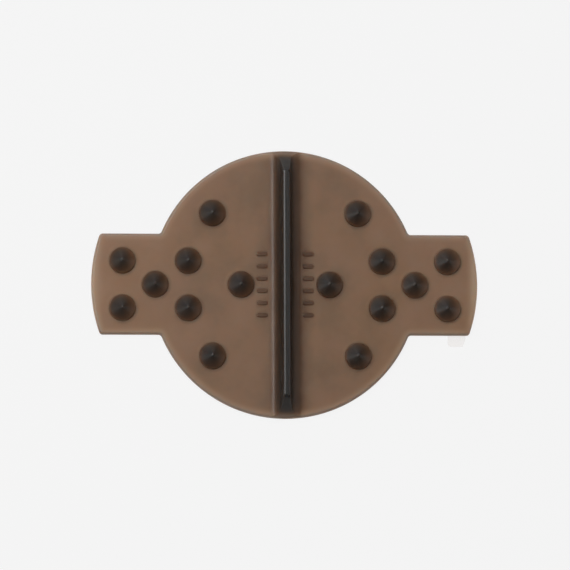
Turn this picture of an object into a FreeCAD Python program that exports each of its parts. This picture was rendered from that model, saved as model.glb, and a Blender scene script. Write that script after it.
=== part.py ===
# Snowboard stomp pad: a moulded grip pad on double-sided tape, with its release liner.
# Millimetres. The origin is under the middle of the pad, on the underside of the liner.
# +X runs along the pad from wing to wing, +Y along the scraper ridge, +Z up.
import FreeCAD, Part

import math
import os

Vector = FreeCAD.Vector
UP = Vector(0, 0, 1)

# Outline of the pad: a round middle with a wing at each end.
OVERALL_LENGTH = 155.0
DISC_RADIUS = 53.7
WING_WIDTH = 40.5
WING_END_RADIUS = 60.0
WING_CORNER_RADIUS = 1.6
WING_ROOT_RADIUS = 1.5

# Layers, from the liner up. Tape and liner are die-cut a little smaller than the pad.
LINER_THICKNESS = 0.12
ADHESIVE_THICKNESS = 0.15
CARRIER_THICKNESS = 0.5
PLATE_THICKNESS = 2.2
TAPE_INSET = 0.8

# Moulded top.
RIM_RADIUS = 1.2
STUD_RADIUS = 5.4
STUD_SKIRT_HEIGHT = 1.0
STUD_SKIRT_DRAFT = 10.0
STUD_HEIGHT = 4.0
STUD_TIP_RADIUS = 0.5
STUD_PLACES = [(65.2, 9.45), (52.1, 0.0), (38.9, 9.45), (29.2, 28.6), (17.75, 0.0)]

RIDGE_HEIGHT = 8.0
RIDGE_CREST_WIDTH = 2.3
RIDGE_CREST_EDGE_RADIUS = 0.4
RIDGE_DRAFT = 12.0
RIDGE_FOOT_RADIUS = 4.8
RIDGE_CREST_LENGTH = 90.4
RIDGE_END_DROP = 0.6        # the end slopes leave the rim this far below the plate's face

MARK_COUNT = 6
MARK_PITCH = 4.9
MARK_LENGTH = 4.4
MARK_WIDTH = 1.7
MARK_HEIGHT = 0.5
MARK_CENTRE_X = 9.3

# Pull tab of the liner, under the +X wing's -Y edge.
TAB_LEFT = 65.6
TAB_RIGHT = 72.8
TAB_REACH = 24.6
TAB_SLANT = 2.6
TAB_CORNER = 1.4

EMBED = 0.6                 # how far raised features reach down into the plate
FOOT_SINK = 0.03            # the ridge's foot arcs cross the plate's face, not just touch it

HALF_LENGTH = OVERALL_LENGTH / 2
LOWER_ADHESIVE_Z = LINER_THICKNESS
CARRIER_Z = LOWER_ADHESIVE_Z + ADHESIVE_THICKNESS
UPPER_ADHESIVE_Z = CARRIER_Z + CARRIER_THICKNESS
PLATE_Z = UPPER_ADHESIVE_Z + ADHESIVE_THICKNESS
TOP_Z = PLATE_Z + PLATE_THICKNESS


def upright_edges(shape, x_from, x_to):
    """The straight +Z edges of a shape whose distance from the YZ plane is in a range."""
    found = []
    for edge in shape.Edges:
        start = edge.Vertexes[0].Point
        end = edge.Vertexes[-1].Point
        upright = abs(start.x - end.x) < 1e-6 and abs(start.y - end.y) < 1e-6
        if upright and abs(start.z - end.z) > 1e-6 and x_from < abs(start.x) < x_to:
            found.append(edge)
    return found


def outline_slab(inset, thickness, base_z):
    """A flat slab of the pad's outline, pulled in by inset all round."""
    half_width = WING_WIDTH / 2 - inset
    slab = Part.makeCylinder(DISC_RADIUS - inset, thickness, Vector(0, 0, base_z))
    for side in (-1, 1):
        arc_centre = Vector(side * (HALF_LENGTH - WING_END_RADIUS), 0, base_z)
        arc = Part.makeCylinder(WING_END_RADIUS - inset, thickness, arc_centre)
        low_x = min(0, side * HALF_LENGTH)
        strip = Part.makeBox(
            HALF_LENGTH, 2 * half_width, thickness, Vector(low_x, -half_width, base_z)
        )
        slab = slab.fuse(strip.common(arc))
    slab = slab.removeSplitter()
    root_x = math.sqrt((DISC_RADIUS - inset) ** 2 - half_width ** 2)
    roots = upright_edges(slab, root_x - 1, root_x + 1)
    slab = slab.makeFillet(WING_ROOT_RADIUS + inset, roots)
    corners = upright_edges(slab, HALF_LENGTH - 10, HALF_LENGTH)
    return slab.makeFillet(WING_CORNER_RADIUS - inset, corners)


def base_plate():
    """The moulding's flat plate, its top edge rounded all the way round."""
    plate = outline_slab(0, PLATE_THICKNESS, PLATE_Z)
    top_face = max(plate.Faces, key=lambda face: face.CenterOfMass.z)
    return plate.makeFillet(RIM_RADIUS, top_face.Edges)


def stud(x, y):
    """One grip stud: a drafted skirt, a cone and a small round tip."""
    shoulder = STUD_RADIUS - STUD_SKIRT_HEIGHT * math.tan(math.radians(STUD_SKIRT_DRAFT))
    slope = math.atan2(STUD_HEIGHT - STUD_SKIRT_HEIGHT, shoulder)
    tip_centre = STUD_HEIGHT - STUD_TIP_RADIUS
    touch = Vector(
        STUD_TIP_RADIUS * math.sin(slope), 0, tip_centre + STUD_TIP_RADIUS * math.cos(slope)
    )
    halfway = Vector(
        STUD_TIP_RADIUS * math.sin(slope / 2), 0, tip_centre + STUD_TIP_RADIUS * math.cos(slope / 2)
    )
    foot = Vector(STUD_RADIUS, 0, 0)
    bottom = Vector(STUD_RADIUS, 0, -EMBED)
    centre = Vector(0, 0, -EMBED)
    tip = Vector(0, 0, STUD_HEIGHT)
    skirt_top = Vector(shoulder, 0, STUD_SKIRT_HEIGHT)
    profile = Part.Wire([
        Part.makeLine(centre, bottom),
        Part.makeLine(bottom, foot),
        Part.makeLine(foot, skirt_top),
        Part.makeLine(skirt_top, touch),
        Part.Arc(touch, halfway, tip).toShape(),
        Part.makeLine(tip, centre),
    ])
    solid = Part.Face(profile).revolve(Vector(0, 0, 0), UP, 360)
    solid.translate(Vector(x, y, TOP_Z))
    return solid


def studs():
    """Every grip stud: each place is mirrored to both wings, and across the long axis."""
    placed = []
    for x, y in STUD_PLACES:
        for side in (-1, 1):
            for row in sorted({-y, y}):
                placed.append(stud(side * x, row))
    return placed


def ridge_profile():
    """The scraper ridge's cross-section, drawn in the XZ plane above the plate's face."""
    draft = math.radians(RIDGE_DRAFT)
    half_crest = RIDGE_CREST_WIDTH / 2
    edge = RIDGE_CREST_EDGE_RADIUS
    # Where the flank would meet the crest and the plate if nothing were rounded.
    corner_foot_x = half_crest + RIDGE_HEIGHT * math.tan(draft)
    foot_run = RIDGE_FOOT_RADIUS * math.tan(math.radians(45) - draft / 2)
    edge_run = edge * math.tan(math.radians(45) - draft / 2)
    foot_x = corner_foot_x + foot_run
    foot_centre_z = RIDGE_FOOT_RADIUS - FOOT_SINK
    flank_low = Vector(
        foot_x - RIDGE_FOOT_RADIUS * math.cos(draft), 0,
        foot_centre_z - RIDGE_FOOT_RADIUS * math.sin(draft),
    )
    middle_turn = math.radians(45) + draft / 2
    foot_middle = Vector(
        foot_x - RIDGE_FOOT_RADIUS * math.cos(middle_turn), 0,
        foot_centre_z - RIDGE_FOOT_RADIUS * math.sin(middle_turn),
    )
    foot_end = Vector(foot_x, 0, -FOOT_SINK)
    crest_end = Vector(half_crest - edge_run, 0, RIDGE_HEIGHT)
    edge_centre = Vector(crest_end.x, 0, RIDGE_HEIGHT - edge)
    flank_high = edge_centre + Vector(edge * math.cos(draft), 0, edge * math.sin(draft))
    edge_middle = edge_centre + Vector(edge * math.cos(middle_turn), 0, edge * math.sin(middle_turn))
    bottom_right = Vector(foot_x, 0, -EMBED)

    def mirrored(point):
        return Vector(-point.x, 0, point.z)

    def half(flip):
        place = mirrored if flip else (lambda point: point)
        return [
            Part.makeLine(place(bottom_right), place(foot_end)),
            Part.Arc(place(foot_end), place(foot_middle), place(flank_low)).toShape(),
            Part.makeLine(place(flank_low), place(flank_high)),
            Part.Arc(place(flank_high), place(edge_middle), place(crest_end)).toShape(),
        ]

    crest = Part.makeLine(crest_end, mirrored(crest_end))
    bottom = Part.makeLine(mirrored(bottom_right), bottom_right)
    edges = half(False) + [crest] + half(True) + [bottom]
    return Part.Face(Part.Wire(Part.__sortEdges__(edges)))


def ridge():
    """The scraper ridge, sloped at both ends down to the rim of the round middle."""
    blade = ridge_profile().extrude(Vector(0, 2 * DISC_RADIUS, 0))
    blade.translate(Vector(0, -DISC_RADIUS, 0))
    crest_y = RIDGE_CREST_LENGTH / 2
    end_y = DISC_RADIUS
    side_view = Part.makePolygon([
        Vector(-HALF_LENGTH, -end_y, -EMBED),
        Vector(-HALF_LENGTH, -end_y, -RIDGE_END_DROP),
        Vector(-HALF_LENGTH, -crest_y, RIDGE_HEIGHT),
        Vector(-HALF_LENGTH, -crest_y, RIDGE_HEIGHT + 1),
        Vector(-HALF_LENGTH, crest_y, RIDGE_HEIGHT + 1),
        Vector(-HALF_LENGTH, crest_y, RIDGE_HEIGHT),
        Vector(-HALF_LENGTH, end_y, -RIDGE_END_DROP),
        Vector(-HALF_LENGTH, end_y, -EMBED),
    ], True)
    envelope = Part.Face(side_view).extrude(Vector(OVERALL_LENGTH, 0, 0))
    disc = Part.makeCylinder(DISC_RADIUS, 2 * RIDGE_HEIGHT, Vector(0, 0, -EMBED))
    blade = blade.common(envelope).common(disc)
    blade.translate(Vector(0, 0, TOP_Z))
    return blade


def marks():
    """Two rows of plain raised bars, one each side of the ridge."""
    straight = MARK_LENGTH - MARK_WIDTH
    height = MARK_HEIGHT + EMBED
    placed = []
    for side in (-1, 1):
        for index in range(MARK_COUNT):
            y = (index - (MARK_COUNT - 1) / 2) * MARK_PITCH
            low = Vector(side * MARK_CENTRE_X - straight / 2, y, TOP_Z - EMBED)
            bar = Part.makeBox(straight, MARK_WIDTH, height, low - Vector(0, MARK_WIDTH / 2, 0))
            for end in (0, straight):
                bar = bar.fuse(Part.makeCylinder(MARK_WIDTH / 2, height, low + Vector(end, 0, 0)))
            placed.append(bar.removeSplitter())
    return placed


def pad_moulding():
    """The whole moulding: plate, studs, ridge and marks in one flexible plastic."""
    raised = studs() + marks() + [ridge()]
    return base_plate().multiFuse(raised).removeSplitter()


def pull_tab():
    """The liner's tab: a strip of film with one rounded and one slanted corner."""
    inner_y = -(WING_WIDTH / 2 - 2 * TAPE_INSET)
    points = [
        Vector(TAB_LEFT, inner_y, 0),
        Vector(TAB_LEFT, -TAB_REACH, 0),
        Vector(TAB_RIGHT - TAB_SLANT / 2, -TAB_REACH, 0),
        Vector(TAB_RIGHT, -TAB_REACH + TAB_SLANT, 0),
        Vector(TAB_RIGHT, inner_y, 0),
    ]
    tab = Part.Face(Part.makePolygon(points, True)).extrude(UP * LINER_THICKNESS)
    round_corner = upright_edges(tab, TAB_LEFT - 0.1, TAB_LEFT + 0.1)
    round_corner = [edge for edge in round_corner if edge.CenterOfMass.y < inner_y]
    return tab.makeFillet(TAB_CORNER, round_corner)


def release_liner():
    """The siliconised film under the adhesive, with its pull tab."""
    film = outline_slab(TAPE_INSET, LINER_THICKNESS, 0)
    return film.fuse(pull_tab()).removeSplitter()


def build():
    """Every sub-part by its node name."""
    return {
        "release_liner": release_liner(),
        "lower_adhesive": outline_slab(TAPE_INSET, ADHESIVE_THICKNESS, LOWER_ADHESIVE_Z),
        "tape_carrier": outline_slab(TAPE_INSET, CARRIER_THICKNESS, CARRIER_Z),
        "upper_adhesive": outline_slab(TAPE_INSET, ADHESIVE_THICKNESS, UPPER_ADHESIVE_Z),
        "pad_moulding": pad_moulding(),
    }


os.makedirs("parts", exist_ok=True)
for node, shape in build().items():
    box = shape.BoundBox
    print(
        node, "solids", len(shape.Solids), "valid", shape.isValid(), "volume", round(shape.Volume, 1),
        "z", round(box.ZMin, 3), round(box.ZMax, 3),
        "size", round(box.XLength, 2), round(box.YLength, 2),
    )
    shape.exportStep("parts/" + node + ".step")
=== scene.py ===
# The looks of the snowboard stomp pad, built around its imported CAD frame.
# Lengths are in millimetres and become metres where a mesh, lamp or camera is made.
# The frame's origin is under the middle of the pad, +X runs from wing to wing and +Z is up.
import math

import bpy
import numpy
from mathutils import Matrix, Vector
from mathutils.geometry import delaunay_2d_cdt


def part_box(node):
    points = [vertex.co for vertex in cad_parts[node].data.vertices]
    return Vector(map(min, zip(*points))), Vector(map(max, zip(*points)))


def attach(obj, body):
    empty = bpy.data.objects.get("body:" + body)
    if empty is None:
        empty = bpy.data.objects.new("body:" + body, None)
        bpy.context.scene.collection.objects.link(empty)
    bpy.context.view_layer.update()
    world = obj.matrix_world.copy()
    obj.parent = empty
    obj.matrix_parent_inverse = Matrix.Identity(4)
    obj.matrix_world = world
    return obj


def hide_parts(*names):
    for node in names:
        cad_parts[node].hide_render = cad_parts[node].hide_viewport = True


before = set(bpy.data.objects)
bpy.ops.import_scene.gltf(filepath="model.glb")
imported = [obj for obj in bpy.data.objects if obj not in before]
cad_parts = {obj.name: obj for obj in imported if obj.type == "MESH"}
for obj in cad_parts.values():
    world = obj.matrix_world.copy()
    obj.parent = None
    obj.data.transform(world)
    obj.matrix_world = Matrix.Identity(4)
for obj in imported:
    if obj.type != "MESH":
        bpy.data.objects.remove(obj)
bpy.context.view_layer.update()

MM = 0.001
UP = Vector((0, 0, 1))
DOWN = Vector((0, 0, -1))

# Taken from the frame.
PAD_LOW, PAD_HIGH = (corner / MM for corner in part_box("pad_moulding"))
LINER_LOW, LINER_HIGH = (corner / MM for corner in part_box("release_liner"))
HALF_LENGTH = PAD_HIGH.x
DISC_RADIUS = PAD_HIGH.y
TAPE_INSET = HALF_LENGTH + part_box("tape_carrier")[0].x / MM

# The pad's outline, and its plate.
WING_HALF_WIDTH = 20.25
WING_END_RADIUS = 60.0
WING_CORNER_RADIUS = 1.6
WING_ROOT_RADIUS = 1.5
PLATE_THICKNESS = 2.2
PLATE_TOP = PAD_LOW.z + PLATE_THICKNESS
RIM_RADIUS = 1.2
RIM_STEPS = 9
BOTTOM_EDGE_RADIUS = 0.2
BOTTOM_EDGE_STEPS = 4

# Studs. Their flanks would meet at the apex, and the rounding of the tip ends them at their height.
STUD_RADIUS = 5.25
STUD_SHOULDER_RADIUS = 5.08
STUD_SKIRT_HEIGHT = 1.0
STUD_HEIGHT = 4.0
STUD_APEX = 4.23
STUD_TIP_RADIUS = 1.25
STUD_FOOT_ROUND = 0.3
STUD_SHOULDER_ROUND = 0.35
STUD_SIDES = 72
STUD_FLANK_STEP = 1.0
STUD_PLACES = [(65.2, 9.45), (52.1, 0.0), (38.9, 9.45), (29.2, 28.6), (17.75, 0.0)]

# Raised bars beside the ridge.
MARK_COUNT = 6
MARK_PITCH = 4.9
MARK_LENGTH = 4.4
MARK_WIDTH = 1.7
MARK_HEIGHT = 0.5
MARK_DRAFT_RUN = 0.08
MARK_CENTRE_X = 9.3
MARK_FOOT_ROUND = 0.15
MARK_TOP_ROUND = 0.22
MARK_END_STEPS = 10

# The scraper ridge.
RIDGE_HEIGHT = PAD_HIGH.z - PLATE_TOP
RIDGE_HALF_CREST = 1.15
RIDGE_CREST_ROUND = 0.16
RIDGE_BEVEL_WIDTH = 0.58
RIDGE_BEVEL_SLOPE = math.radians(20)
RIDGE_BEVEL_BLEND = 0.02
RIDGE_DRAFT = math.radians(12)
RIDGE_FOOT_RADIUS = 4.8
RIDGE_CREST_Y = 45.2
RIDGE_END_DROP = 0.6
RIDGE_END_ROUND = 0.5
RIDGE_END_BLEND = 1.0
RIDGE_BLEND_HEIGHT = 1.5
RIDGE_END_SLOPE = (RIDGE_HEIGHT + RIDGE_END_DROP) / (DISC_RADIUS - RIDGE_CREST_Y)
RIDGE_CORNER_FOOT_X = RIDGE_HALF_CREST + RIDGE_HEIGHT * math.tan(RIDGE_DRAFT)
RIDGE_FOOT_X = RIDGE_CORNER_FOOT_X + RIDGE_FOOT_RADIUS * math.tan(math.radians(45) - RIDGE_DRAFT / 2)

# Gaps between the ridge's lines of points at its bevel and its crest's corner, and steps down a flank,
# round its foot, along the crest, over its end's crease and down the end's slope.
RIDGE_BEVEL_GAP = 0.05
RIDGE_CORNER_GAP = 0.025
RIDGE_FLANK_STEPS = 7
RIDGE_FOOT_STEPS = 12
RIDGE_RUN_STEPS = 14
RIDGE_RUN_BUNCHING = 1.6
RIDGE_CREASE_STEPS = 6
RIDGE_SLOPE_STEPS = 8

# Pull tab of the liner.
TAB_LEFT = 65.6
TAB_RIGHT = 72.8
TAB_REACH = 24.6
TAB_SLANT = 2.6
TAB_CORNER = 1.4
TAB_CURL = 0.5
TAB_SIDE_STEPS = (1.2, 2.4)

# Points on the plate's flat face: rings at these distances round what stands on it, and a coarse grid.
FLAT_SUPPORTS = (0.25, 0.7, 1.5, 2.6)
FLAT_RIDGE_ROWS = 60
FLAT_RIDGE_END_GAP = 0.6
FLAT_GRID = 3.0
FLAT_GRID_GAP = 1.2

# The outline is made of pieces this long on its wide curves and sides, and this turned at its corners.
CURVE_STEP = 1.2
SIDE_STEP = 1.5
CORNER_STEP = math.radians(9)

# The films of the tape and the liner.
FILM_EDGE_ROUND = 0.04
FILM_GRID = 4.0
FILM_GRID_GAP = 1.5

# Painted colour. These heights count as millimetres of plastic, and only the colour uses them.
STUD_TONE_LIFT = 0.7
MARK_TONE_HEIGHT = 1.6
RIDGE_TONE_GAIN = 1.15
RIDGE_SHADE_HEIGHT = 2.0

# Light spreads in the plastic, so depth is averaged with rings of samples: (radius, sample's weight).
BLUR_RINGS = [(0.3, 1.0), (0.8, 0.5), (1.6, 0.4), (4.0, 0.3)]
BLUR_RING_SAMPLES = 8
BLUR_RING_TURN = 20
BLUR_CENTRE_WEIGHT = 4

# Painted light on a stud's far flank and, as a ring sized in stud radii, on the plate by its near foot.
STUD_FAR_GLOW = 2.2
STUD_FAR_BEARING = math.radians(-15)
STUD_FOOT_GLOW = 0.24
STUD_FOOT_BEARING = math.radians(140)
STUD_FOOT_RING = 1.13
STUD_FOOT_RING_WIDTH = 0.11

# Painted light that makes the wings lighter towards their ends: (distance from the pad's middle, depth).
WING_GLOW = [(30, 0), (60, 0.25), (72, 0.3), (78, 0.9)]

# How much the ridge shades the plate beside it, more on the side away from the main light: (x, depth).
RIDGE_SHADE = [(-14, 0), (-9, 0.15), (-7, 0.15), (-5, 0), (4, 0), (5.5, 0.5), (7, 0.6), (9, 0.22), (12, 0)]

# Polish: 0 is the plate's matte finish, 1 the crest's bevels. Over 1 is smoother and under 0 rougher.
POLISH_CREST_BEVEL = 1.0
POLISH_RIDGE_FOOT = 0.6
POLISH_RIDGE_END = -1.0
POLISH_STUD_FLANK = 0.2
POLISH_STUD_TIP = 1.6
STUD_TIP_POLISH_REACH = 0.6
RIDGE_FOOT_POLISH_Y = RIDGE_CREST_Y + 5


# -------------------- outline

def arc_directions(start, end, step):
    """Unit vectors from one angle to another, both ends included, in radians."""
    count = max(2, math.ceil(abs(end - start) / step))
    angles = [start + (end - start) * index / count for index in range(count + 1)]
    return [Vector((math.cos(angle), math.sin(angle))) for angle in angles]


END_CENTRE = Vector((HALF_LENGTH - WING_END_RADIUS, 0))
CORNER_CENTRE = Vector((
    END_CENTRE.x + math.sqrt(
        (WING_END_RADIUS - WING_CORNER_RADIUS) ** 2 - (WING_HALF_WIDTH - WING_CORNER_RADIUS) ** 2
    ),
    WING_HALF_WIDTH - WING_CORNER_RADIUS,
))
ROOT_CENTRE = Vector((
    math.sqrt((DISC_RADIUS + WING_ROOT_RADIUS) ** 2 - (WING_HALF_WIDTH + WING_ROOT_RADIUS) ** 2),
    WING_HALF_WIDTH + WING_ROOT_RADIUS,
))
CORNER_ANGLE = math.atan2(CORNER_CENTRE.y, CORNER_CENTRE.x - END_CENTRE.x)
ROOT_ANGLE = math.atan2(ROOT_CENTRE.y, ROOT_CENTRE.x)


def quarter_outline(ridge_columns):
    """Columns of the outline from the +X wing's end round to the +Y axis.

    A column is (edge point, outward direction, whether it belongs to the ridge's end)."""
    columns = []
    for way in arc_directions(0, CORNER_ANGLE, CURVE_STEP / WING_END_RADIUS):
        columns.append((END_CENTRE + way * WING_END_RADIUS, way, False))
    for way in arc_directions(CORNER_ANGLE, math.pi / 2, CORNER_STEP)[1:]:
        columns.append((CORNER_CENTRE + way * WING_CORNER_RADIUS, way, False))
    run = CORNER_CENTRE.x - ROOT_CENTRE.x
    count = round(run / SIDE_STEP)
    for index in range(1, count):
        place = Vector((CORNER_CENTRE.x - run * index / count, WING_HALF_WIDTH))
        columns.append((place, Vector((0, 1)), False))
    for way in arc_directions(-math.pi / 2, ROOT_ANGLE - math.pi, CORNER_STEP):
        columns.append((ROOT_CENTRE + way * WING_ROOT_RADIUS, -way, False))
    ridge_angle = math.acos(RIDGE_FOOT_X / DISC_RADIUS)
    for way in arc_directions(ROOT_ANGLE, ridge_angle, CURVE_STEP / DISC_RADIUS)[1:-1]:
        columns.append((way * DISC_RADIUS, way, False))
    for x in reversed(ridge_columns):
        if x >= 0:
            place = Vector((x, math.sqrt(DISC_RADIUS ** 2 - x ** 2)))
            columns.append((place, place.normalized(), True))
    return columns


def mirrored(columns, flip_x, flip_y):
    """The same columns in another quarter, put in the order that keeps the loop anticlockwise."""
    factor = Vector((-1 if flip_x else 1, -1 if flip_y else 1))
    moved = [(place * factor, outward * factor, ridge) for place, outward, ridge in columns]
    return moved[::-1] if flip_x != flip_y else moved


def whole_outline(quarter):
    """All four quarters as one anticlockwise loop, with no column twice."""
    loop = []
    for flip_x, flip_y in ((False, False), (True, False), (True, True), (False, True)):
        for column in mirrored(quarter, flip_x, flip_y):
            if not loop or (column[0] - loop[-1][0]).length > 1e-6:
                loop.append(column)
    if (loop[0][0] - loop[-1][0]).length < 1e-6:
        loop.pop()
    return loop


def column_at(column, inset):
    """Where a column crosses the outline pulled in by inset."""
    place, outward, ridge = column
    if ridge:
        reach = math.sqrt((DISC_RADIUS - inset) ** 2 - place.x ** 2)
        return Vector((place.x, math.copysign(reach, place.y)))
    return place - outward * inset


def edge_distance(x, y):
    """How far inside the outline points are. Works on numpy arrays."""
    x = numpy.abs(x)
    y = numpy.abs(y)
    disc = DISC_RADIUS - numpy.hypot(x, y)
    side = WING_HALF_WIDTH - y
    end = WING_END_RADIUS - numpy.hypot(x - END_CENTRE.x, y)
    root_x = x - ROOT_CENTRE.x
    root_y = y - ROOT_CENTRE.y
    root = numpy.hypot(root_x, root_y) - WING_ROOT_RADIUS
    corner = WING_CORNER_RADIUS - numpy.hypot(x - CORNER_CENTRE.x, y - CORNER_CENTRE.y)
    wing = numpy.minimum(side, end)
    past_corner = (y > CORNER_CENTRE.y) & (x > CORNER_CENTRE.x)
    wing = numpy.where(past_corner, numpy.minimum(wing, corner), wing)
    # Left of the line from the disc's centre to the root's, the disc's own edge is nearest.
    beside_disc = ROOT_CENTRE.x * y - ROOT_CENTRE.y * x > 0
    beside_root = (root_x < 0) & ~beside_disc
    return numpy.where(beside_disc, disc, numpy.where(beside_root, root, wing))


# -------------------- profiles and heights

def rounded_path(corners):
    """A profile through (run, height, rounding) corners as (run, height, normal) samples.

    The normal is a (run, height) unit vector on the left of the path."""
    points = [Vector(corner[:2]) for corner in corners]
    samples = []
    for index, point in enumerate(points):
        rounding = corners[index][2]
        before = (point - points[index - 1]).normalized() if index else None
        after = (points[index + 1] - point).normalized() if index + 1 < len(points) else None
        if not rounding:
            along = after or before
            samples.append((point.x, point.y, Vector((-along.y, along.x))))
            continue
        turn = before.angle_signed(after)
        trim = rounding * math.tan(abs(turn) / 2)
        start = point - before * trim
        normal_in = Vector((-before.y, before.x))
        # angle_signed is positive clockwise, which here is a convex corner.
        bulge = 1 if turn > 0 else -1
        centre = start - normal_in * rounding * bulge
        steps = max(3, math.ceil(abs(turn) / math.radians(11)))
        start_angle = math.atan2(normal_in.y, normal_in.x)
        for step in range(steps + 1):
            angle = start_angle - turn * step / steps
            normal = Vector((math.cos(angle), math.sin(angle)))
            place = centre + normal * rounding * bulge
            samples.append((place.x, place.y, normal))
    return samples


def stud_profile():
    """(radius, height, normal) samples of a stud from its foot to its tip, radii falling."""
    # Drawn from left to right, so that the left of the path is outside, then mirrored.
    path = rounded_path([
        (-STUD_RADIUS - 1, 0, 0),
        (-STUD_RADIUS, 0, STUD_FOOT_ROUND),
        (-STUD_SHOULDER_RADIUS, STUD_SKIRT_HEIGHT, STUD_SHOULDER_ROUND),
        (0, STUD_APEX, STUD_TIP_RADIUS),
        (STUD_SHOULDER_RADIUS, STUD_SKIRT_HEIGHT, 0),
    ])
    profile = [(-run, height, Vector((-normal.x, normal.y))) for run, height, normal in path[1:]]
    return add_mid_samples([sample for sample in profile if sample[0] > 0.01], STUD_FLANK_STEP)


def add_mid_samples(profile, longest):
    """The same profile with straight runs split so that none is longer than a given length."""
    full = [profile[0]]
    for run, height, normal in profile[1:]:
        last_run, last_height, _ = full[-1]
        pieces = math.ceil(math.hypot(run - last_run, height - last_height) / longest)
        for index in range(1, pieces):
            share = index / pieces
            full.append((
                last_run + (run - last_run) * share, last_height + (height - last_height) * share, normal,
            ))
        full.append((run, height, normal))
    return full


def soft_lower(first, second, blend):
    """The lower of two heights, rounded where they cross. Works on numpy arrays."""
    near = numpy.clip(0.5 + (second - first) / (2 * blend), 0, 1)
    return second + (first - second) * near - blend * near * (1 - near)


def ridge_height(x):
    """Height of the ridge's cross-section above the plate. Works on numpy arrays."""
    x = numpy.abs(x)
    bevel_start = RIDGE_HALF_CREST - RIDGE_BEVEL_WIDTH
    bevel = RIDGE_HEIGHT - (x - bevel_start) * math.tan(RIDGE_BEVEL_SLOPE)
    crest = soft_lower(RIDGE_HEIGHT + 0 * x, bevel, RIDGE_BEVEL_BLEND)
    flank = (RIDGE_CORNER_FOOT_X - x) / math.tan(RIDGE_DRAFT)
    blade = soft_lower(crest, flank, RIDGE_CREST_ROUND)
    flank_low = RIDGE_FOOT_X - RIDGE_FOOT_RADIUS * math.cos(RIDGE_DRAFT)
    on_foot = numpy.clip(RIDGE_FOOT_X - x, 0, RIDGE_FOOT_RADIUS)
    foot = RIDGE_FOOT_RADIUS - numpy.sqrt(RIDGE_FOOT_RADIUS ** 2 - on_foot ** 2)
    return numpy.where(x < flank_low, blade, foot)


def rounded_drop(distance, radius):
    """How far a rounded edge lies below its face, at a distance in from the outline."""
    left = numpy.clip(radius - distance, 0, radius)
    return numpy.sqrt(radius ** 2 - left ** 2) - radius


def ridge_surface(x, y):
    """Height of the ridge, its end slopes and the rim under them, above the plate."""
    inset = DISC_RADIUS - numpy.hypot(x, y)
    body = rounded_drop(inset, RIM_RADIUS) + ridge_height(x)
    end = RIDGE_HEIGHT - RIDGE_END_SLOPE * (numpy.abs(y) - RIDGE_CREST_Y)
    end = end + rounded_drop(inset, RIDGE_END_ROUND)
    # The blend fades out towards the ridge's foot, where the rim has to meet it.
    blend = RIDGE_END_BLEND * numpy.clip(ridge_height(x) / RIDGE_BLEND_HEIGHT, 0.001, 1)
    return soft_lower(body, end, blend)


def all_heights(x, y):
    """Height of the whole top above the plate's face, edges left sharp. For colour only."""
    inset = numpy.maximum(edge_distance(x, y), 0)
    height = rounded_drop(inset, RIM_RADIUS)
    ridge = ridge_surface(x, y)
    ridge = numpy.where(ridge > 0, ridge * RIDGE_TONE_GAIN, ridge)
    # The ridge keeps light from the rim at its ends too.
    ridge = numpy.maximum(ridge, RIDGE_SHADE_HEIGHT * (1 - (x / RIDGE_FOOT_X) ** 2))
    ridge = numpy.where(numpy.abs(x) < RIDGE_FOOT_X, ridge, -PLATE_THICKNESS)
    height = numpy.maximum(height, ridge)
    cone = (STUD_HEIGHT - STUD_SKIRT_HEIGHT) / STUD_SHOULDER_RADIUS
    for stud_x, stud_y in STUD_PLACES:
        away = numpy.hypot(numpy.abs(x) - stud_x, numpy.abs(y) - stud_y)
        height = numpy.where(away < STUD_RADIUS, STUD_HEIGHT + STUD_TONE_LIFT - cone * away, height)
    for centre in mark_centres():
        height = numpy.where(mark_clearance(x, y, centre) < 0, MARK_TONE_HEIGHT, height)
    return height


def mark_centres():
    """Middles of the raised bars on the +X side."""
    rows = [(index - (MARK_COUNT - 1) / 2) * MARK_PITCH for index in range(MARK_COUNT)]
    return [Vector((MARK_CENTRE_X, row)) for row in rows]


def mark_clearance(x, y, centre):
    """How far points are outside a raised bar, on either side of the ridge."""
    half_run = (MARK_LENGTH - MARK_WIDTH) / 2
    beyond = numpy.maximum(numpy.abs(numpy.abs(x) - centre.x) - half_run, 0)
    return numpy.hypot(beyond, y - centre.y) - MARK_WIDTH / 2


def plastic_depth(x, y):
    """How much plastic lies around each point, in millimetres, with the painted light and shade."""
    total = all_heights(x, y) * BLUR_CENTRE_WEIGHT
    weight = BLUR_CENTRE_WEIGHT
    for radius, share in BLUR_RINGS:
        for index in range(BLUR_RING_SAMPLES):
            angle = math.radians(360 / BLUR_RING_SAMPLES * index + BLUR_RING_TURN * radius)
            step_x = radius * math.cos(angle)
            step_y = radius * math.sin(angle)
            inside = edge_distance(x + step_x, y + step_y) > 0
            sample = numpy.where(inside, all_heights(x + step_x, y + step_y), -PLATE_THICKNESS)
            total = total + sample * share
            weight += share
    lit_from_side = numpy.interp(numpy.abs(x), *zip(*WING_GLOW)) + stud_glow(x, y)
    shaded = numpy.interp(x, *zip(*RIDGE_SHADE))
    return PLATE_THICKNESS + total / weight + shaded - lit_from_side


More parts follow.
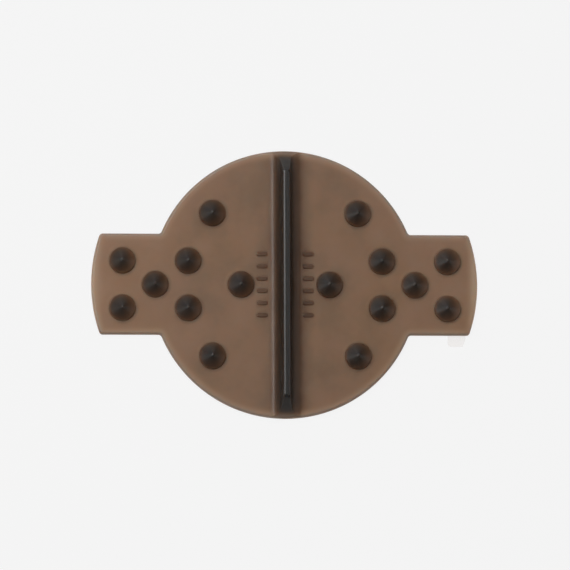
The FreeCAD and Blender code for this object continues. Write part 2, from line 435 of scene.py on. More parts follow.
def stud_glow(x, y):
    """Painted light by the studs, in millimetres of depth, shade below 0.

    A stud's far flank and the plate by its near foot are lit, its near flank and far foot shaded."""
    glow = 0 * x
    for stud_x, stud_y in STUD_PLACES:
        away_x = (x - numpy.copysign(stud_x, x)) / STUD_RADIUS
        away_y = (y - numpy.copysign(stud_y, y)) / STUD_RADIUS
        share = numpy.hypot(away_x, away_y)
        far = away_x * math.cos(STUD_FAR_BEARING) + away_y * math.sin(STUD_FAR_BEARING)
        near = away_x * math.cos(STUD_FOOT_BEARING) + away_y * math.sin(STUD_FOOT_BEARING)
        off_ring = (share - STUD_FOOT_RING) / STUD_FOOT_RING_WIDTH
        ring = STUD_FOOT_GLOW * near * numpy.exp(-off_ring ** 2)
        glow = glow + numpy.where(share < 1, STUD_FAR_GLOW * far * (1 - share ** 2), ring)
    return glow


def polish(x, y):
    """How polished the moulding is at each point. The small margins take in whole lines of points."""
    across = numpy.abs(x)
    along = numpy.abs(y)
    bevel = (across > RIDGE_HALF_CREST - RIDGE_BEVEL_WIDTH - 0.01) & (across < RIDGE_HALF_CREST + 0.1)
    level = POLISH_CREST_BEVEL * (bevel & (along < RIDGE_CREST_Y + 0.2))
    foot = (across > RIDGE_CORNER_FOOT_X - 0.2) & (across < RIDGE_FOOT_X - 0.3)
    level = numpy.where(foot & (along < RIDGE_FOOT_POLISH_Y), POLISH_RIDGE_FOOT, level)
    end = (across < RIDGE_CORNER_FOOT_X) & (along > RIDGE_CREST_Y + 0.6)
    level = numpy.where(end, POLISH_RIDGE_END, level)
    for stud_x, stud_y in STUD_PLACES:
        away = numpy.hypot(across - stud_x, along - stud_y)
        level = numpy.where(away < STUD_SHOULDER_RADIUS - 0.3, POLISH_STUD_FLANK, level)
        level = numpy.where(away < STUD_TIP_POLISH_REACH, POLISH_STUD_TIP, level)
    return level


# -------------------- mesh building

class Shell:
    """A closed mesh in the making. Points are shared by place, and each has its own normal."""

    def __init__(self):
        self.places = {}
        self.points = []
        self.normals = []
        self.faces = []

    def point(self, x, y, z, normal):
        """The index of the point at a place, made if it isn't there yet."""
        key = (round(x, 4), round(y, 4), round(z, 4))
        if key not in self.places:
            self.places[key] = len(self.points)
            self.points.append((x, y, z))
            self.normals.append(Vector(normal).normalized())
        return self.places[key]

    def face(self, *corners):
        """Adds a face, leaving out corners that fall together."""
        kept = [c for index, c in enumerate(corners) if c != corners[index - 1]]
        if len(kept) > 2:
            self.faces.append(kept)

    def strip(self, inner, outer, closed):
        """Quads between two rows of points, seen anticlockwise with outer on the right."""
        count = len(inner)
        for index in range(count if closed else count - 1):
            after = (index + 1) % count
            self.face(inner[index], outer[index], outer[after], inner[after])

    def build(self, name, attributes=None):
        """The mesh object, in metres, smooth with the points' own normals."""
        mesh = bpy.data.meshes.new(name)
        mesh.from_pydata([tuple(value * MM for value in point) for point in self.points], [], self.faces)
        mesh.polygons.foreach_set("use_smooth", [True] * len(mesh.polygons))
        for key, values in (attributes or {}).items():
            layer = mesh.attributes.new(key, "FLOAT", "POINT")
            layer.data.foreach_set("value", values)
        mesh.update()
        mesh.normals_split_custom_set_from_vertices([tuple(normal) for normal in self.normals])
        obj = bpy.data.objects.new(name, mesh)
        bpy.context.scene.collection.objects.link(obj)
        return obj


def tilted(outward, normal):
    """A profile's (run, height) normal, turned to face along an outward direction."""
    return (outward.x * normal.x, outward.y * normal.x, normal.y)


def circle(sides):
    """Directions round a circle, anticlockwise."""
    angles = numpy.linspace(0, math.tau, sides + 1)[:-1]
    return [Vector((math.cos(angle), math.sin(angle))) for angle in angles]


def loft(shell, loop, profile, base_z):
    """Rings of a closed loop of (place, outward), one for each (run outwards, height, normal)."""
    rings = []
    for run, height, normal in profile:
        ring = []
        for place, outward in loop:
            at = place + outward * run
            ring.append(shell.point(at.x, at.y, base_z + height, tilted(outward, normal)))
        rings.append(ring)
    for outer, inner in zip(rings, rings[1:]):
        shell.strip(inner, outer, closed=True)
    return rings


def add_stud(shell, x, y):
    """One stud, as rings closed by a fan at its tip. Returns its foot ring."""
    loop = [(Vector((x, y)), way) for way in circle(STUD_SIDES)]
    rings = loft(shell, loop, stud_profile(), PLATE_TOP)
    tip = shell.point(x, y, PLATE_TOP + STUD_HEIGHT, UP)
    ring = rings[-1]
    for index, corner in enumerate(ring):
        shell.face(tip, corner, ring[(index + 1) % len(ring)])
    return rings[0]


def mark_profile():
    """(run outwards, height, normal) samples of a raised bar's side, from its foot up."""
    path = rounded_path([
        (-1, 0, 0),
        (0, 0, MARK_FOOT_ROUND),
        (MARK_DRAFT_RUN, MARK_HEIGHT, MARK_TOP_ROUND),
        (0.5, MARK_HEIGHT, 0),
    ])
    return [(-run, height, Vector((-normal.x, normal.y))) for run, height, normal in path[1:]]


def mark_loop(centre):
    """The stadium outline of a raised bar, anticlockwise, as (place, outward) pairs."""
    half_run = (MARK_LENGTH - MARK_WIDTH) / 2
    loop = []
    for side, start in ((1, -math.pi / 2), (-1, math.pi / 2)):
        middle = centre + Vector((side * half_run, 0))
        for way in arc_directions(start, start + math.pi, math.pi / MARK_END_STEPS):
            loop.append((middle + way * MARK_WIDTH / 2, way))
    return loop


def add_mark(shell, centre):
    """One raised bar, with a flat top. Returns its foot ring."""
    rings = loft(shell, mark_loop(centre), mark_profile(), PLATE_TOP)
    shell.face(*rings[-1])
    return rings[0]


def ridge_columns():
    """Where the ridge's lengthwise lines lie across it, symmetric about its middle."""
    bevel_start = RIDGE_HALF_CREST - RIDGE_BEVEL_WIDTH
    columns = [0, bevel_start / 2]
    columns += [bevel_start + step * RIDGE_BEVEL_GAP for step in (-1, 0, 1)]
    columns += [bevel_start + RIDGE_BEVEL_WIDTH / 2]
    columns += [RIDGE_HALF_CREST + step * RIDGE_CORNER_GAP for step in range(-3, 4)]
    flank_high = columns[-1]
    flank_low = RIDGE_FOOT_X - RIDGE_FOOT_RADIUS * math.cos(RIDGE_DRAFT)
    for step in range(1, RIDGE_FLANK_STEPS):
        columns.append(flank_high + (flank_low - flank_high) * step / RIDGE_FLANK_STEPS)
    for step in range(RIDGE_FOOT_STEPS + 1):
        turn = RIDGE_DRAFT + (math.pi / 2 - RIDGE_DRAFT) * step / RIDGE_FOOT_STEPS
        columns.append(RIDGE_FOOT_X - RIDGE_FOOT_RADIUS * math.cos(turn))
    return [-x for x in columns[:0:-1]] + columns


def rim_insets():
    """How far in from the edge each ring of the rounded rim lies, from the edge inwards."""
    turns = [math.pi / 2 * step / RIM_STEPS for step in range(RIM_STEPS + 1)]
    return [RIM_RADIUS * (1 - math.cos(turn)) for turn in turns]


def ridge_rows(x):
    """Where the ridge's crosswise lines meet one lengthwise line, from -Y to +Y."""
    rim_start = math.sqrt((DISC_RADIUS - RIM_RADIUS) ** 2 - x ** 2)
    crease = RIDGE_CREST_Y + (RIDGE_HEIGHT - float(ridge_height(x))) / RIDGE_END_SLOPE
    crease = min(crease, rim_start - RIDGE_END_BLEND)
    spread = 0.75 * RIDGE_END_BLEND
    first = crease - spread
    last = crease + spread
    shares = [step / RIDGE_RUN_STEPS for step in range(RIDGE_RUN_STEPS)]
    half = [first * (1 - (1 - share) ** RIDGE_RUN_BUNCHING) for share in shares]
    half += [first + (last - first) * step / RIDGE_CREASE_STEPS for step in range(RIDGE_CREASE_STEPS + 1)]
    half += [last + (rim_start - last) * step / RIDGE_SLOPE_STEPS for step in range(1, RIDGE_SLOPE_STEPS)]
    rim = [math.sqrt((DISC_RADIUS - inset) ** 2 - x ** 2) for inset in reversed(rim_insets())]
    half += rim
    return [-y for y in half[:0:-1]] + half


def surface_normal(height_at, x, y):
    """The upward normal of a height function, by small differences."""
    step = 0.0005
    slope_x = (height_at(x + step, y) - height_at(x - step, y)) / (2 * step)
    slope_y = (height_at(x, y + step) - height_at(x, y - step)) / (2 * step)
    return (-float(slope_x), -float(slope_y), 1)


def add_ridge(shell, columns):
    """The ridge from rim to rim as a grid. Returns its lines of points, one for each column."""
    lines = []
    for x in columns:
        line = []
        rows = ridge_rows(x)
        for index, y in enumerate(rows):
            at_edge = index in (0, len(rows) - 1)
            normal = (x, y, 0) if at_edge else surface_normal(ridge_surface, x, y)
            height = float(ridge_surface(x, y))
            line.append(shell.point(x, y, PLATE_TOP + height, normal))
        lines.append(line)
    for left, right in zip(lines, lines[1:]):
        shell.strip(left, right, closed=False)
    return lines


def add_rim(shell, loop):
    """The rounded top edge, except where the ridge's ends take its place."""
    insets = rim_insets()
    rings = []
    for step, inset in enumerate(insets):
        turn = math.pi / 2 * step / RIM_STEPS
        height = RIM_RADIUS * (math.sin(turn) - 1)
        normal = Vector((math.cos(turn), math.sin(turn)))
        ring = []
        for column in loop:
            at = column_at(column, inset)
            on_ridge = column[2] and abs(column[0].x) < RIDGE_FOOT_X - 1e-6
            if on_ridge:
                ring.append(None)
            else:
                ring.append(shell.point(at.x, at.y, PLATE_TOP + height, tilted(column[1], normal)))
        rings.append(ring)
    count = len(loop)
    for outer, inner in zip(rings, rings[1:]):
        for index in range(count):
            after = (index + 1) % count
            corners = (inner[index], outer[index], outer[after], inner[after])
            if None not in corners:
                shell.face(*corners)
    return rings[-1]


def add_wall(shell, loop, ridge_lines):
    """The side wall from the rim down, its bottom edge rounded, and the flat underside."""
    ridge_ends = {}
    for line in ridge_lines:
        x = round(shell.points[line[0]][0], 3)
        ridge_ends[x, False] = line[0]
        ridge_ends[x, True] = line[-1]
    top = []
    for place, outward, ridge in loop:
        if ridge:
            top.append(ridge_ends[round(place.x, 3), place.y > 0])
        else:
            rim_z = PLATE_TOP - RIM_RADIUS
            top.append(shell.point(place.x, place.y, rim_z, tilted(outward, Vector((1, 0)))))
    rows = [top]
    low_start = PAD_LOW.z + BOTTOM_EDGE_RADIUS
    for share in (0.5, 0):
        z = low_start + (PLATE_TOP - RIM_RADIUS - low_start) * share
        rows.append([shell.point(p.x, p.y, z, tilted(out, Vector((1, 0)))) for p, out, _ in loop])
    for step in range(1, BOTTOM_EDGE_STEPS + 1):
        turn = math.pi / 2 * step / BOTTOM_EDGE_STEPS
        inset = BOTTOM_EDGE_RADIUS * (1 - math.cos(turn))
        z = PAD_LOW.z + BOTTOM_EDGE_RADIUS * (1 - math.sin(turn))
        normal = Vector((math.cos(turn), -math.sin(turn)))
        row = []
        for column in loop:
            at = column[0] - column[1] * inset
            row.append(shell.point(at.x, at.y, z, tilted(column[1], normal)))
        rows.append(row)
    for upper, lower in zip(rows, rows[1:]):
        shell.strip(upper, lower, closed=True)
    add_flat_face(shell, rows[-1])


def fill(loop, inner):
    """Triangles over a flat loop and the points inside it, as all the points and the faces."""
    edges = [(index, (index + 1) % len(loop)) for index in range(len(loop))]
    points, _, faces, _, _, _ = delaunay_2d_cdt(loop + inner, edges, [list(range(len(loop)))], 1, 1e-6)
    return points, faces


def add_flat_face(shell, ring):
    """Fills a flat loop with triangles, facing down."""
    _, faces = fill([Vector(shell.points[index][:2]) for index in ring], [])
    for face in faces:
        shell.face(*(ring[corner] for corner in reversed(face)))


def flat_features(loop):
    """What stands on the +X half of the plate's face: (clearance function, ring maker) pairs."""
    features = []

    def rim_clearance(x, y):
        return edge_distance(x, y) - RIM_RADIUS

    def rim_ring(offset):
        return [column_at(column, RIM_RADIUS + offset) for column in loop if not column[2]]

    def ridge_clearance(x, y):
        return x - RIDGE_FOOT_X + 0 * y

    def ridge_ring(offset):
        reach = DISC_RADIUS - RIM_RADIUS - offset - FLAT_RIDGE_END_GAP
        rows = numpy.linspace(-reach, reach, FLAT_RIDGE_ROWS)
        return [Vector((RIDGE_FOOT_X + offset, y)) for y in rows]

    features.append((rim_clearance, rim_ring))
    features.append((ridge_clearance, ridge_ring))
    foot_reach = stud_profile()[0][0]
    mark_reach = mark_profile()[0][0]
    for stud_x, stud_y in STUD_PLACES:
        for row in sorted({-stud_y, stud_y}):

            def stud_clearance(x, y, stud_x=stud_x, row=row):
                return numpy.hypot(x - stud_x, y - row) - foot_reach

            def stud_ring(offset, stud_x=stud_x, row=row):
                middle = Vector((stud_x, row))
                return [middle + way * (foot_reach + offset) for way in circle(STUD_SIDES // 2)]

            features.append((stud_clearance, stud_ring))
    for centre in mark_centres():

        def bar_clearance(x, y, centre=centre):
            return mark_clearance(x, y, centre) - mark_reach

        def bar_ring(offset, centre=centre):
            return [place + outward * (mark_reach + offset) for place, outward in mark_loop(centre)[::2]]

        features.append((bar_clearance, bar_ring))
    return features


def support_points(features):
    """Points on the flat that carry the colour's change round each feature, and a coarse grid."""
    found = []
    for _, ring in features:
        for offset in FLAT_SUPPORTS:
            places = ring(offset)
            x = numpy.array([place.x for place in places])
            y = numpy.array([place.y for place in places])
            nearest = numpy.min([clearance(x, y) for clearance, _ in features], axis=0)
            found += [place for place, gap in zip(places, nearest) if gap > offset - 0.02]
    columns = int(HALF_LENGTH / FLAT_GRID) + 1
    rows = int(DISC_RADIUS / FLAT_GRID)
    for column in range(columns):
        for row in range(-rows, rows + 1):
            place = Vector((column * FLAT_GRID, (row + 0.5 * (column % 2)) * FLAT_GRID))
            gaps = [float(clearance(place.x, place.y)) for clearance, _ in features]
            if min(gaps) > FLAT_SUPPORTS[-1] + FLAT_GRID_GAP:
                found.append(place)
    return found


def add_plate_face(shell, rim_ring, loop, ridge_line, foot_rings, side):
    """The flat face on one side of the ridge, between the rim, the ridge and what stands on it."""
    features = flat_features(loop)
    ids = []
    edges = []

    def add_constraint(ring, closed):
        start = len(ids)
        ids.extend(ring)
        count = len(ring)
        for index in range(count if closed else count - 1):
            edges.append((start + index, start + (index + 1) % count))

    half_rim = [index for index in rim_ring if index is not None and shell.points[index][0] * side > 0]
    # The rim's half ring starts at the outline's first column, so it is turned to start at the ridge.
    starts = [
        place for place, index in enumerate(half_rim)
        if abs(abs(shell.points[index][0]) - RIDGE_FOOT_X) < 1e-3 and shell.points[index][1] * side < 0
    ]
    half_rim = half_rim[starts[0]:] + half_rim[:starts[0]]
    add_constraint(half_rim, closed=False)
    inner_reach = math.sqrt((DISC_RADIUS - RIM_RADIUS) ** 2 - RIDGE_FOOT_X ** 2) + 1e-4
    beside_flat = [index for index in ridge_line if abs(shell.points[index][1]) < inner_reach]
    add_constraint(beside_flat, closed=False)
    for ring in foot_rings:
        add_constraint(ring, closed=True)
    flat = [Vector(shell.points[index][:2]) for index in ids]
    flat += [Vector((place.x * side, place.y)) for place in support_points(features)]
    points, _, faces, _, _, _ = delaunay_2d_cdt(flat, edges, [], 0, 1e-5)
    corners = [shell.point(p.x, p.y, PLATE_TOP, UP) for p in points]
    middles = numpy.array([sum((points[corner] for corner in face), Vector((0, 0))) / 3 for face in faces])
    gaps = numpy.min([gap(middles[:, 0] * side, middles[:, 1]) for gap, _ in features], axis=0)
    for face, gap in zip(faces, gaps):
        if gap > -0.002:
            shell.face(*(corners[corner] for corner in face))


def pad_body():
    """The whole moulding as one closed mesh: rim, plate, ridge, studs, bars, wall and underside."""
    shell = Shell()
    columns = ridge_columns()
    loop = whole_outline(quarter_outline(columns))
    rim_ring = add_rim(shell, loop)
    ridge_lines = add_ridge(shell, columns)
    add_wall(shell, loop, ridge_lines)
    for side, ridge_line in ((1, ridge_lines[-1]), (-1, ridge_lines[0])):
        feet = []
        for stud_x, stud_y in STUD_PLACES:
            for row in sorted({-stud_y, stud_y}):
                feet.append(add_stud(shell, side * stud_x, row))
        for centre in mark_centres():
            feet.append(add_mark(shell, Vector((side * centre.x, centre.y))))
        add_plate_face(shell, rim_ring, loop, ridge_line, feet, side)
    x, y, _ = numpy.array(shell.points).T
    depth = plastic_depth(x, y)
    # How far in from the outline each point is. The material lightens the wall and the rim by it, partly
    # for the thinner plastic and partly as painted light.
    edge = numpy.maximum(edge_distance(x, y), 0)
    return shell.build("pad_body", {"depth": depth, "edge": edge, "polish": polish(x, y)})


def film(name, loop, low_z, high_z, lift=None):
    """A flat sheet of film, foam or glue: a loop filled top and bottom, its edge slightly rounded."""
    shell = Shell()
    soft = min(FILM_EDGE_ROUND, (high_z - low_z) / 4)
    outward = []
    for index in range(len(loop)):
        along = (loop[(index + 1) % len(loop)] - loop[index - 1]).normalized()
        outward.append(Vector((along.y, -along.x)))

    def ring(inset, z, tilt):
        row = []
        for place, way in zip(loop, outward):
            at = place - way * inset
            raised = z + (lift(at.x, at.y) if lift else 0)
            normal = (way.x * math.cos(tilt), way.y * math.cos(tilt), math.sin(tilt))
            row.append(shell.point(at.x, at.y, raised, normal))
        return row

    rows = [
        ring(soft, high_z, math.pi / 2),
        ring(0, high_z - soft, 0),
        ring(0, low_z + soft, 0),
        ring(soft, low_z, -math.pi / 2),
    ]
    for upper, lower in zip(rows, rows[1:]):
        shell.strip(upper, lower, closed=True)
    for row, z, normal in ((rows[0], high_z, UP), (rows[-1], low_z, DOWN)):
        points, faces = fill([Vector(shell.points[index][:2]) for index in row], film_grid())
        corners = list(row)
        for p in points[len(row):]:
            raised = z + (lift(p.x, p.y) if lift else 0)
            corners.append(shell.point(p.x, p.y, raised, normal))
        for face in faces:
            turned = face if normal.z > 0 else list(reversed(face))
            shell.face(*(corners[corner] for corner in turned))
    return shell.build(name)


def film_grid():
    """Inner points of a film, clear of its edge."""
    columns = math.ceil(HALF_LENGTH / FILM_GRID)
    rows = math.ceil(DISC_RADIUS / FILM_GRID)
    found = []
    for column in range(-columns, columns + 1):
        for row in range(-rows, rows + 1):
            place = Vector((column * FILM_GRID, (row + 0.5 * (column % 2)) * FILM_GRID))
            if float(edge_distance(place.x, place.y)) > TAPE_INSET + FILM_GRID_GAP:
                found.append(place)
    return found


def tape_loop():
    """The outline of the tape layers."""
    loop = whole_outline(quarter_outline(ridge_columns()))
    return [place - outward * TAPE_INSET for place, outward, _ in loop]


def liner_loop():
    """The outline of the liner: the tape's, with the pull tab let into the +X wing's -Y edge."""
    edge_y = -(WING_HALF_WIDTH - TAPE_INSET)
    tab = [Vector((TAB_LEFT, edge_y))]
    tab += [Vector((TAB_LEFT, edge_y - step)) for step in TAB_SIDE_STEPS]
    middle = Vector((TAB_LEFT + TAB_CORNER, -TAB_REACH + TAB_CORNER))
    for way in arc_directions(math.pi, math.pi * 1.5, math.radians(15)):
        tab.append(middle + way * TAB_CORNER)
    tab.append(Vector((TAB_RIGHT - TAB_SLANT / 2, -TAB_REACH)))
    tab.append(Vector((TAB_RIGHT, -TAB_REACH + TAB_SLANT)))
    tab.append(Vector((TAB_RIGHT, edge_y)))
    loop = []
    for place in tape_loop():
        on_edge = abs(place.y - edge_y) < 1e-3 and TAB_LEFT - 0.3 < place.x < TAB_RIGHT + 0.05
        if not on_edge:
            loop.append(place)
        elif tab:
            loop += tab
            tab = []
    return loop


def tab_lift(x, y):
    """How far the free pull tab curls up off the floor."""
    past = max(0.0, -y - (WING_HALF_WIDTH - TAPE_INSET))
    free = TAB_REACH - WING_HALF_WIDTH + TAPE_INSET
    return TAB_CURL * (past / free) ** 2 if x > TAB_LEFT - 1 else 0.0


# -------------------- materials

def new_material(name):
    """An empty node material with its output, and short ways to add and join nodes."""
    material = bpy.data.materials.new(name)
    material.use_nodes = True
    tree = material.node_tree
    tree.nodes.clear()
    output = tree.nodes.new("ShaderNodeOutputMaterial")

    def node(kind, inputs=None, **settings):
        made = tree.nodes.new(kind)
        for key, value in settings.items():
            setattr(made, key, value)
        for key, value in (inputs or {}).items():
            if isinstance(value, bpy.types.NodeSocket):
                tree.links.new(value, made.inputs[key])
            else:
                made.inputs[key].default_value = value
        return made

    def finish(shader):
        tree.links.new(shader.outputs[0], output.inputs["Surface"])
        return material

    return node, finish


def ramp(node, factor, stops):
    """A colour ramp with (position, (r, g, b)) stops."""
    made = node("ShaderNodeValToRGB", {"Fac": factor})
    elements = made.color_ramp.elements
    while len(elements) < len(stops):
        elements.new(1)
    for element, (position, colour) in zip(elements, stops):
        element.position = position
        element.color = (*colour, 1)
    return made.outputs["Color"]


def object_noise(node, scale, detail, roughness=0.5):
    """Noise fixed to the object, its scale in features per metre."""
    place = node("ShaderNodeTexCoord").outputs["Object"]
    made = node("ShaderNodeTexNoise", {
        "Vector": place, "Scale": scale, "Detail": detail, "Roughness": roughness,
    })
    return made.outputs["Fac"]


def calculated(node, operation, *values):
    """The result of a math node on sockets or numbers."""
    return node("ShaderNodeMath", dict(enumerate(values)), operation=operation).outputs[0]


def carried(node, value, start, end, low, high, **settings):
    """A value carried over from one range, start to end, to another, low to high."""
    return node("ShaderNodeMapRange", {
        "Value": value, "From Min": start, "From Max": end, "To Min": low, "To Max": high,
    }, **settings).outputs[0]


def mixed(node, factor, first, second, **settings):
    """Two colours mixed by a factor."""
    return node("ShaderNodeMix", {
        "Factor": factor, 6: first, 7: second,
    }, data_type="RGBA", **settings).outputs[2]


def tone_by(node, length, reach, stops):
    """A colour that follows a length, through (length, colour) stops up to reach."""
    share = calculated(node, "DIVIDE", length, reach)
    return ramp(node, share, [(at / reach, colour) for at, colour in stops])


PLATE_TONE = (0.338, 0.196, 0.115)

# The plastic's colour by its depth in millimetres. The deepest tones are grey, partly the thick plastic's
# own colour and partly a painted reflection.
DEEPEST = 12.0
DEPTH_TONES = [
    (1.2, (0.45, 0.27, 0.172)),
    (2.2, PLATE_TONE),
    (2.4, (0.286, 0.174, 0.104)),
    (2.8, (0.24, 0.134, 0.077)),
    (3.4, (0.150, 0.076, 0.038)),
    (4.0, (0.092, 0.046, 0.022)),
    (4.8, (0.054, 0.031, 0.019)),
    (6.2, (0.030, 0.0225, 0.0185)),
    (10.0, (0.025, 0.022, 0.0205)),
]
MOTTLE_DEPTH = 1.1

# Its lighter colour round the rim, by millimetres in from the edge: partly the thinner plastic, partly
# painted light.
RIM_REACH = 4.2
RIM_TONES_AND_LIGHT = [
    (0.0, (0.29, 0.23, 0.18)),
    (0.4, (0.31, 0.24, 0.185)),
    (0.9, (0.385, 0.285, 0.21)),
    (1.6, (0.42, 0.272, 0.175)),
    (2.4, (0.40, 0.247, 0.152)),
    (3.3, (0.365, 0.217, 0.130)),
    (RIM_REACH, PLATE_TONE),
]

# Painted light makes the wings' ends lighter still, by a strength that changes along the pad, per metre.
WING_END_GLOW_TONE = (0.60, 0.45, 0.32, 1)
WING_END_REACH = 5
WING_END_GLOW_STRENGTH = 0.62
WING_END_GLOW_TILT = 2.6


def smoke_plastic():
    """Translucent smoke-brown plastic: darker where it is thick, lighter round its thin rim, with painted
    light and shade in its depth and on its rim and wings' ends.
    """
    node, finish = new_material("smoke_plastic")
    depth = node("ShaderNodeAttribute", attribute_name="depth").outputs["Fac"]
    edge = node("ShaderNodeAttribute", attribute_name="edge").outputs["Fac"]
    smooth = node("ShaderNodeAttribute", attribute_name="polish").outputs["Fac"]
    mottle = calculated(node, "SUBTRACT", object_noise(node, 75, 3), 0.5)
    uneven = calculated(node, "MULTIPLY_ADD", mottle, MOTTLE_DEPTH, depth)
    tone = tone_by(node, uneven, DEEPEST, DEPTH_TONES)
    rim_tone_and_light = tone_by(node, edge, RIM_REACH, RIM_TONES_AND_LIGHT)
    near_rim = carried(node, edge, 1.6, RIM_REACH, 1.0, 0.0, interpolation_type="SMOOTHSTEP")
    thin = carried(node, depth, 2.4, 3.4, 1.0, 0.0)
    thin_rim = calculated(node, "MULTIPLY", near_rim, thin)
    # Painted light at the ridge's ends, where the rim still catches some light though the plastic is thick
    # there.
    painted_rim_light = carried(node, edge, 1.0, 3.0, 0.42, 0.0, interpolation_type="SMOOTHSTEP")
    rim_share = calculated(node, "MAXIMUM", thin_rim, painted_rim_light)
    lit = mixed(node, rim_share, tone, rim_tone_and_light)
    along = node("ShaderNodeSeparateXYZ", {0: node("ShaderNodeTexCoord").outputs["Object"]}).outputs["X"]
    # Painted glow on the wings' ends, stronger on the end away from the main light.
    end_glow_strength = calculated(node, "MULTIPLY_ADD", along, WING_END_GLOW_TILT, WING_END_GLOW_STRENGTH)
    wing_end_glow = carried(
        node, calculated(node, "ABSOLUTE", along), (HALF_LENGTH - WING_END_REACH) * MM, HALF_LENGTH * MM,
        0.0, end_glow_strength, interpolation_type="SMOOTHSTEP",
    )
    end_lit = mixed(node, wing_end_glow, lit, WING_END_GLOW_TONE)
    tint_share = carried(node, object_noise(node, 38, 2), 0.42, 0.68, 0.0, 1.0)
    tinted = mixed(node, tint_share, end_lit, (1.03, 1.01, 0.95, 1), blend_type="MULTIPLY")
    matte = carried(node, object_noise(node, 240, 3), 0.3, 0.7, 0.34, 0.46)
    rough = carried(node, smooth, 0.0, 1.0, matte, 0.24, clamp=False)
    bump = node("ShaderNodeBump", {
        "Height": object_noise(node, 2600, 3, 0.6), "Strength": 0.12, "Distance": 0.00004,
    })
    return finish(node("ShaderNodeBsdfPrincipled", {
        "Base Color": tinted,
        "Roughness": rough,
        "Normal": bump.outputs["Normal"],
        "IOR": 1.5,
        "Subsurface Weight": 0.8,
        "Subsurface Radius": (1.0, 0.55, 0.35),
        "Subsurface Scale": 0.004,
    }))


def glue(name, tint):
    """Clear acrylic adhesive: glossy, faintly yellow, with small ripples."""
    node, finish = new_material(name)
    cloud = object_noise(node, 140, 3)
    colour = ramp(node, cloud, [(0.3, tint), (0.7, tuple(value * 0.94 for value in tint))])
    bump = node("ShaderNodeBump", {
        "Height": object_noise(node, 420, 4, 0.6), "Strength": 0.35, "Distance": 0.0002,
    })
    return finish(node("ShaderNodeBsdfPrincipled", {
        "Base Color": colour, "Roughness": 0.12, "Normal": bump.outputs["Normal"], "IOR": 1.47,
    }))


def foam():
    """White closed-cell foam, its cells a fifth of a millimetre across."""
    node, finish = new_material("tape_foam")
    place = node("ShaderNodeTexCoord").outputs["Object"]
    cells = node("ShaderNodeTexVoronoi", {
        "Vector": place, "Scale": 4500, "Randomness": 1.0,
    }).outputs["Distance"]
    colour = ramp(node, cells, [(0.0, (0.62, 0.61, 0.58)), (0.35, (0.80, 0.79, 0.76))])
    bump = node("ShaderNodeBump", {"Height": cells, "Strength": 0.5, "Distance": 0.0001})
    return finish(node("ShaderNodeBsdfPrincipled", {
        "Base Color": colour, "Roughness": 0.75, "Normal": bump.outputs["Normal"],
    }))


def liner_plastic():
    """Milky siliconised film with a faint crinkle."""
    node, finish = new_material("liner_film")
    cloud = object_noise(node, 60, 4, 0.6)
    colour = ramp(node, cloud, [(0.3, (0.88, 0.62, 0.46)), (0.7, (0.92, 0.67, 0.51))])
    bump = node("ShaderNodeBump", {
        "Height": object_noise(node, 160, 2), "Strength": 0.25, "Distance": 0.0003,
    })
    return finish(node("ShaderNodeBsdfPrincipled", {
        "Base Color": colour, "Roughness": 0.3, "Normal": bump.outputs["Normal"],
        "Alpha": 0.07,
    }))


# -------------------- stage, light and camera

FLOOR_TONE = (0.925, 0.925, 0.925, 1)
FLOOR_GLOW = 0.95
FLOOR_DROP = 0.1
CAMERA_DISTANCE = 2000.0
CAMERA_FROM_FRONT = math.radians(5.0)
CAMERA_FROM_LEFT = math.radians(5.2)
CAMERA_ROLL = math.radians(0.2)
CAMERA_AIM = Vector((-0.06, -0.2, PLATE_TOP))
VIEW_WIDTH = 227.8
SENSOR_WIDTH = 36.0
SKY_LIGHT = 0.1


def stage_floor():
    """A plain pale floor, mostly evenly lit by itself so that it stays free of shadows."""
    mesh = bpy.data.meshes.new("floor")
    reach = 12.0
    corners = [(-reach, -reach, 0), (reach, -reach, 0), (reach, reach, 0), (-reach, reach, 0)]
    mesh.from_pydata(corners, [], [(0, 1, 2, 3)])
    floor = bpy.data.objects.new("floor", mesh)
    floor.location.z = -FLOOR_DROP * MM
    bpy.context.scene.collection.objects.link(floor)
    node, finish = new_material("floor")
    glow = node("ShaderNodeEmission", {"Color": FLOOR_TONE, "Strength": 1.0})
    paint = node("ShaderNodeBsdfDiffuse", {"Color": FLOOR_TONE})
    floor.data.materials.append(finish(node("ShaderNodeMixShader", {
        "Fac": 1 - FLOOR_GLOW, 1: glow.outputs[0], 2: paint.outputs[0],
    })))


def softbox(name, lean, bearing, distance, size, radiance):
    """An area lamp that shines at the pad. Lean is from the vertical, bearing from +X, in degrees."""
    lamp = bpy.data.lights.new(name, "AREA")
    lamp.shape = "RECTANGLE"
    lamp.size = size[0] * MM
    lamp.size_y = size[1] * MM
    lamp.energy = radiance * math.pi * lamp.size * lamp.size_y
    obj = bpy.data.objects.new(name, lamp)
    lean = math.radians(lean)
    bearing = math.radians(bearing)
    away = Vector((math.sin(lean) * math.cos(bearing), math.sin(lean) * math.sin(bearing), math.cos(lean)))
    obj.location = away * distance * MM
    obj.rotation_euler = away.to_track_quat("Z", "Y").to_euler()
    obj.visible_camera = False
    bpy.context.scene.collection.objects.link(obj)


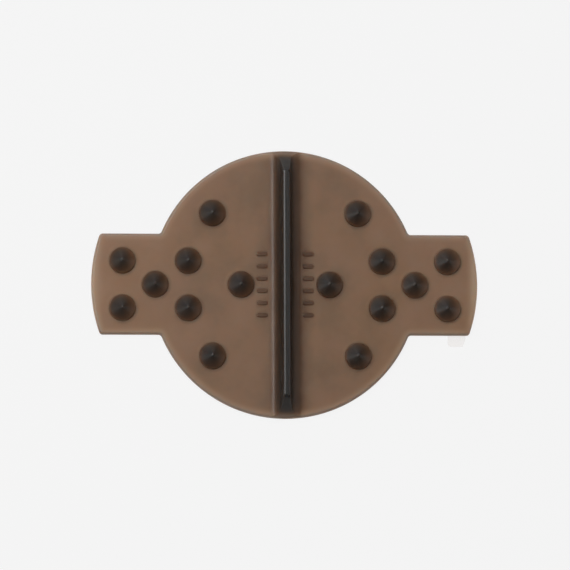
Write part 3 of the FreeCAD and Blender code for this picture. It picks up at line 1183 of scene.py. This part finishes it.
def lights():
    """Soft studio light, strongest from the back left, which is -X and +Y."""
    world = bpy.data.worlds.new("studio")
    world.use_nodes = True
    background = world.node_tree.nodes["Background"]
    background.inputs["Color"].default_value = (SKY_LIGHT, SKY_LIGHT, SKY_LIGHT, 1)
    bpy.context.scene.world = world
    softbox("key_core", 36, 148, 690, (1100, 140), 4.0)
    softbox("key_glow", 28, 148, 700, (1100, 560), 0.55)
    softbox("left_fill", 69, 165, 900, (1500, 150), 0.5)
    softbox("overhead", 7, 44, 1500, (400, 400), 1.1)
    softbox("right_fill", 44, 0, 1200, (900, 340), 0.72)
    softbox("back_fill", 50, 95, 900, (900, 600), 0.42)
    softbox("low_right_fill", 77, -14, 1300, (1100, 340), 0.7)


def camera():
    """A long lens, almost straight down, a little from the front and the left."""
    data = bpy.data.cameras.new("camera")
    data.sensor_width = SENSOR_WIDTH
    data.lens = SENSOR_WIDTH * CAMERA_DISTANCE / VIEW_WIDTH
    data.clip_start = 0.05
    data.clip_end = 100
    obj = bpy.data.objects.new("camera", data)
    away = Vector((-math.tan(CAMERA_FROM_LEFT), -math.tan(CAMERA_FROM_FRONT), 1)).normalized()
    obj.location = (CAMERA_AIM + away * CAMERA_DISTANCE) * MM
    across = Matrix.Rotation(-CAMERA_ROLL, 3, away) @ Vector((0, 1, 0)).cross(away).normalized()
    obj.rotation_euler = Matrix((across, away.cross(across), away)).transposed().to_euler()
    bpy.context.scene.collection.objects.link(obj)
    bpy.context.scene.camera = obj


# -------------------- assembly

def place(piece, node_name, body, slot, material):
    """Gives a piece its material and its body, and hides the CAD node that it stands for. The slot is not
    used.
    """
    piece.data.materials.append(material)
    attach(piece, body)
    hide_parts(node_name)


def tape_layer(name, node_name, body, slot, material):
    """One layer of the tape, as thick as its CAD node."""
    low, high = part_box(node_name)
    place(film(name, tape_loop(), low.z / MM, high.z / MM), node_name, body, slot, material)


place(pad_body(), "pad_moulding", "pad", "smoke_plastic", smoke_plastic())
tape_layer("adhesive_top", "upper_adhesive", "pad", "adhesive", glue("upper_glue", (0.82, 0.81, 0.76)))
tape_layer("foam_carrier", "tape_carrier", "pad", "tape_foam", foam())
tape_layer("adhesive_bottom", "lower_adhesive", "pad", "adhesive", glue("lower_glue", (0.80, 0.79, 0.73)))
liner = film("liner_film", liner_loop(), LINER_LOW.z, LINER_HIGH.z, tab_lift)
place(liner, "release_liner", "liner", "liner_film", liner_plastic())

stage_floor()
lights()
camera()
bpy.context.scene.view_settings.view_transform = "Standard"
